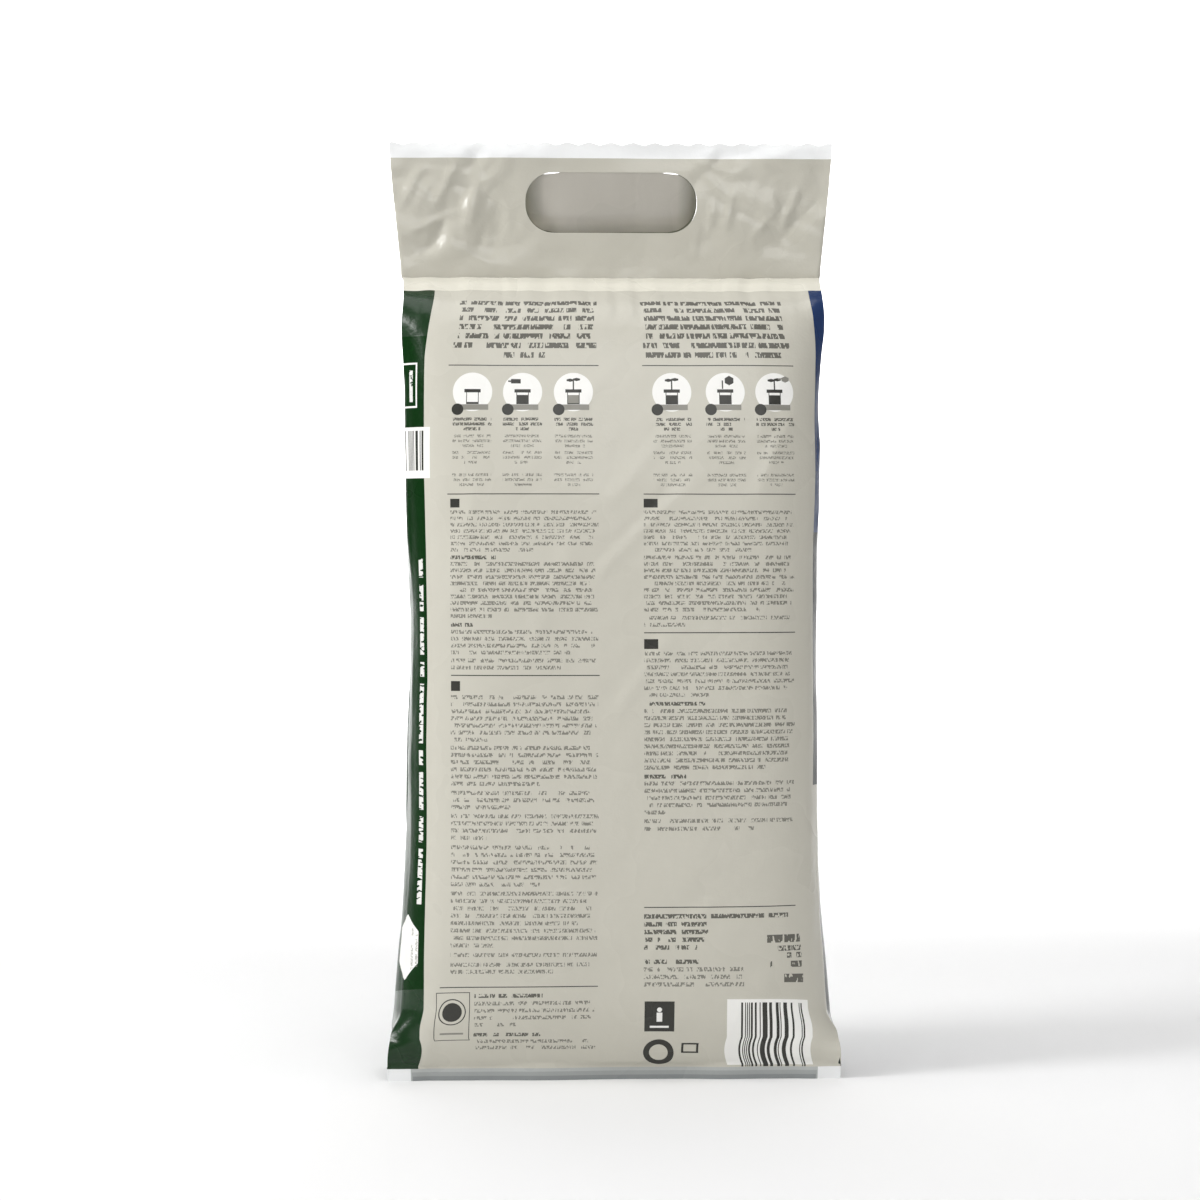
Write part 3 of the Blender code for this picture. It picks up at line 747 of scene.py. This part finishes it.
# Front, foot: a seal of approval's blank and its note, address lines, recycling and barcode blanks.
areas.append(printed_film("PE film foot left", [
    left_field, front_field, rule(-93.0, -9.5, 51.0), (-85.9, 34.6, 9.1, 13.8, dark),
    (-85.9, 34.6, 8.7, 13.4, beige), (-85.9, 25.0, 6.0, 0.6, grey),
    (-86.2, 37.6, 7.3, dark), (-86.2, 37.6, 6.7, beige), (-86.2, 37.6, 5.2, dark)], [
    (-87.2, 78.4, 62.9, 3.7, 2, 54, 2.1, light, 0),
    (-74.5, 64.0, 46.3, 3.9, 1, 36, 2.1, bold, 0), (-74.5, 64.0, 42.2, 4.0, 4, 22, 2.1, light, 0),
    (-74.5, 64.0, 24.2, 3.9, 1, 35, 2.1, bold, 0), (-74.5, 64.0, 20.1, 3.9, 2, 64, 2.1, light, 0)]))
areas.append(printed_film("PE film foot right", [
    front_field, rule(14.5, 96.0, 93.2), (23.0, 34.2, 7.9, 8.6, dark), (23.0, 38.2, 1.3, white),
    (23.0, 34.0, 1.5, 2.6, white), (23.0, 28.4, 5.0, 0.6, white), (23.2, 12.6, 8.2, dark),
    (23.2, 12.6, 5.0, beige), (40.0, 15.5, 4.6, 3.2, dark), (40.0, 15.5, 3.4, 2.2, beige),
    (81.0, 24.0, 22.4, 20.0, white)], [
    (14.5, 77.0, 88.4, 4.1, 1, 77, 2.4, bold, 0), (14.5, 34.0, 84.2, 4.1, 4, 28, 2.4, bold, 0),
    (14.5, 34.0, 64.2, 4.1, 1, 30, 2.4, bold, 0), (14.5, 56.0, 60.1, 4.05, 3, 53, 2.3, light, 0),
    (79.7, 19.0, 75.9, 5.0, 1, 19.0, 4.2, 0.40, 0), (85.6, 13.6, 70.7, 4.0, 1, 13.6, 2.8, bold, 0),
    (90.8, 9.0, 67.0, 4.0, 1, 9.0, 2.8, bold, 0), (81.5, 18.6, 62.4, 4.0, 1, 18.6, 3.2, bold, 0),
    (89.3, 11.4, 55.1, 5.0, 1, 11.4, 4.4, 0.38, 0)],
    barcode=(81.6, 22.6, 18.0, 19.6, 0.52)))
# Rear panel: a plain front-of-pack layout in the same inks.
areas.append(printed_film("PE film rear", [
    (0, (header_low + print_low) / 2, 400, (header_low - print_low) / 2, beige),
    (-172, middle_v, 22, half_v, green),
    (0, 150.0, 400, 150.0 - print_low, green), (0, 292.0, 400, 4.0, blue), shaded_header_field,
    (308, 205.0, 62.0, "#e9e6dc"), (-308, 205.0, 62.0, "#e9e6dc"), (308, 205.0, 56.0, "#3f7a3a"),
    (-308, 205.0, 56.0, "#3f7a3a"),
    (308, 196.0, 26.0, 22.0, "#8a5a3a"), (-308, 196.0, 26.0, 22.0, "#8a5a3a"),
    (308, 221.0, 31.0, 4.5, "#9c6a46"), (-308, 221.0, 31.0, 4.5, "#9c6a46")], []))
# Flaps: the front flap is drawn a greyer beige than the header and darker still towards its cut edge, both
# painted shade; the rear one shows its inner side, drawn dark grey-green as painted shade in the gap behind
# the front flap.
areas.append(printed_film("PE film front flap", [(0, slot_v + 184, 60, 40, "#b3afa6")], [],
                          rim=((0, slot_v + 187, 0), (36, 14, 1), 9.0, "#85847a")))
# The rear flap's dark grey-green is painted shade.
areas.append(printed_film("PE film rear flap", [(0, slot_v + 384, 60, 40, "#74776b")], []))


def print_area(u, v):
    """Which printed area of the film a face belongs to: 0 is plain."""
    if v > slot_v + 130:
        return 9 if v < slot_v + 250 else 10
    if abs(u) > 190:
        return 8
    if -154 < u < -98 and 50 < v < 395:
        return 1
    if not -98 < u < 108 or v > 440 or v < print_low:
        return 0
    left = u < 4
    if v > 312:
        return 2 if left else 3
    if v > (66 if left else 100):
        return 4 if left else 5
    return 6 if left else 7


bag.data.materials.clear()
for area in areas:
    bag.data.materials.append(area)
film_uv = bag.data.uv_layers["film"].uv
for polygon in bag.data.polygons:
    corners = [film_uv[loop].vector for loop in polygon.loop_indices]
    u = sum(corner.x for corner in corners) / len(corners) / MM
    v = sum(corner.y for corner in corners) / len(corners) / MM
    polygon.material_index = print_area(u, v)

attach(bag, "root")
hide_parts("bag")

# ---------------------------------------------------------------------------
# Studio: a pale sweep of paper, its floor at the bag's foot, curved up far behind.
# It isn't part of the bag, so it is staged.
sweep_mesh = bmesh.new()
profile = [(-3.0, 0.0), (1.6, 0.0)]
profile += [(1.6 + 1.2 * math.sin(a), 1.2 - 1.2 * math.cos(a)) for a in np.linspace(0.1, math.pi / 2, 16)]
profile += [(2.8, 4.0)]
lines = [[sweep_mesh.verts.new((x, y, z)) for y, z in profile] for x in (-4.0, 4.0)]
for k in range(len(profile) - 1):
    sweep_mesh.faces.new((lines[0][k], lines[1][k], lines[1][k + 1], lines[0][k + 1]))
sweep_data = bpy.data.meshes.new("paper_sweep")
sweep_mesh.to_mesh(sweep_data)
sweep_mesh.free()
sweep_data.shade_smooth()
sweep = bpy.data.objects.new("paper_sweep", sweep_data)
bpy.context.scene.collection.objects.link(sweep)
paper = bpy.data.materials.new("Backdrop paper")
paper.use_nodes = True
paper_shader = paper.node_tree.nodes["Principled BSDF"]
paper_shader.inputs["Base Color"].default_value = (0.91, 0.91, 0.91, 1)
paper_shader.inputs["Roughness"].default_value = 0.9
paper_shader.inputs["Specular IOR Level"].default_value = 0.1
sweep.data.materials.append(paper)

# Lights: a key from the left that throws the shadow to the right, and three soft fills.
bpy.context.scene.view_settings.view_transform = "Standard"
world = bpy.data.worlds.new("Studio")
bpy.context.scene.world = world
world.use_nodes = True
world.node_tree.nodes["Background"].inputs["Color"].default_value = (1, 1, 1, 1)
world.node_tree.nodes["Background"].inputs["Strength"].default_value = 0.28

for name, place_at, aim, width, tall, power in (
        ("Key softbox", (-2.15, -0.95, 1.5), (0, 0, 0.27), 0.8, 0.8, 36),
        ("Front softbox", (0.35, -2.3, 1.5), (0, 0, 0.15), 1.2, 1.0, 13),
        ("Overhead softbox", (-0.2, -0.5, 2.3), (0, 0, 0.3), 1.8, 1.4, 17),
        ("Backdrop light", (0.0, 1.0, 2.8), (0, 2.8, 0.8), 3.0, 0.6, 90)):
    light_data = bpy.data.lights.new(name, "AREA")
    light_data.shape = "RECTANGLE"
    light_data.size = width
    light_data.size_y = tall
    light_data.energy = power
    light_data.spread = math.radians(100 if name == "Backdrop light" else 180)
    lamp = bpy.data.objects.new(name, light_data)
    lamp.location = place_at
    lamp.rotation_euler = (Vector(aim) - Vector(place_at)).to_track_quat("-Z", "Y").to_euler()
    bpy.context.scene.collection.objects.link(lamp)

# Camera: 2 m off, nearly level, a little to the bag's left.
camera_data = bpy.data.cameras.new("Camera")
camera_data.sensor_width = 36.0
camera_data.lens = 111.2
camera = bpy.data.objects.new("Camera", camera_data)
turn = math.radians(-2.5)
rise = math.radians(1.0)
aim = Vector((-0.006, 0, 0.2534))
back = Vector((math.sin(turn) * math.cos(rise), -math.cos(turn) * math.cos(rise), math.sin(rise)))
camera.location = aim + back * 2.0
camera.rotation_euler = (-back).to_track_quat("-Z", "Y").to_euler()
bpy.context.scene.collection.objects.link(camera)
bpy.context.scene.camera = camera
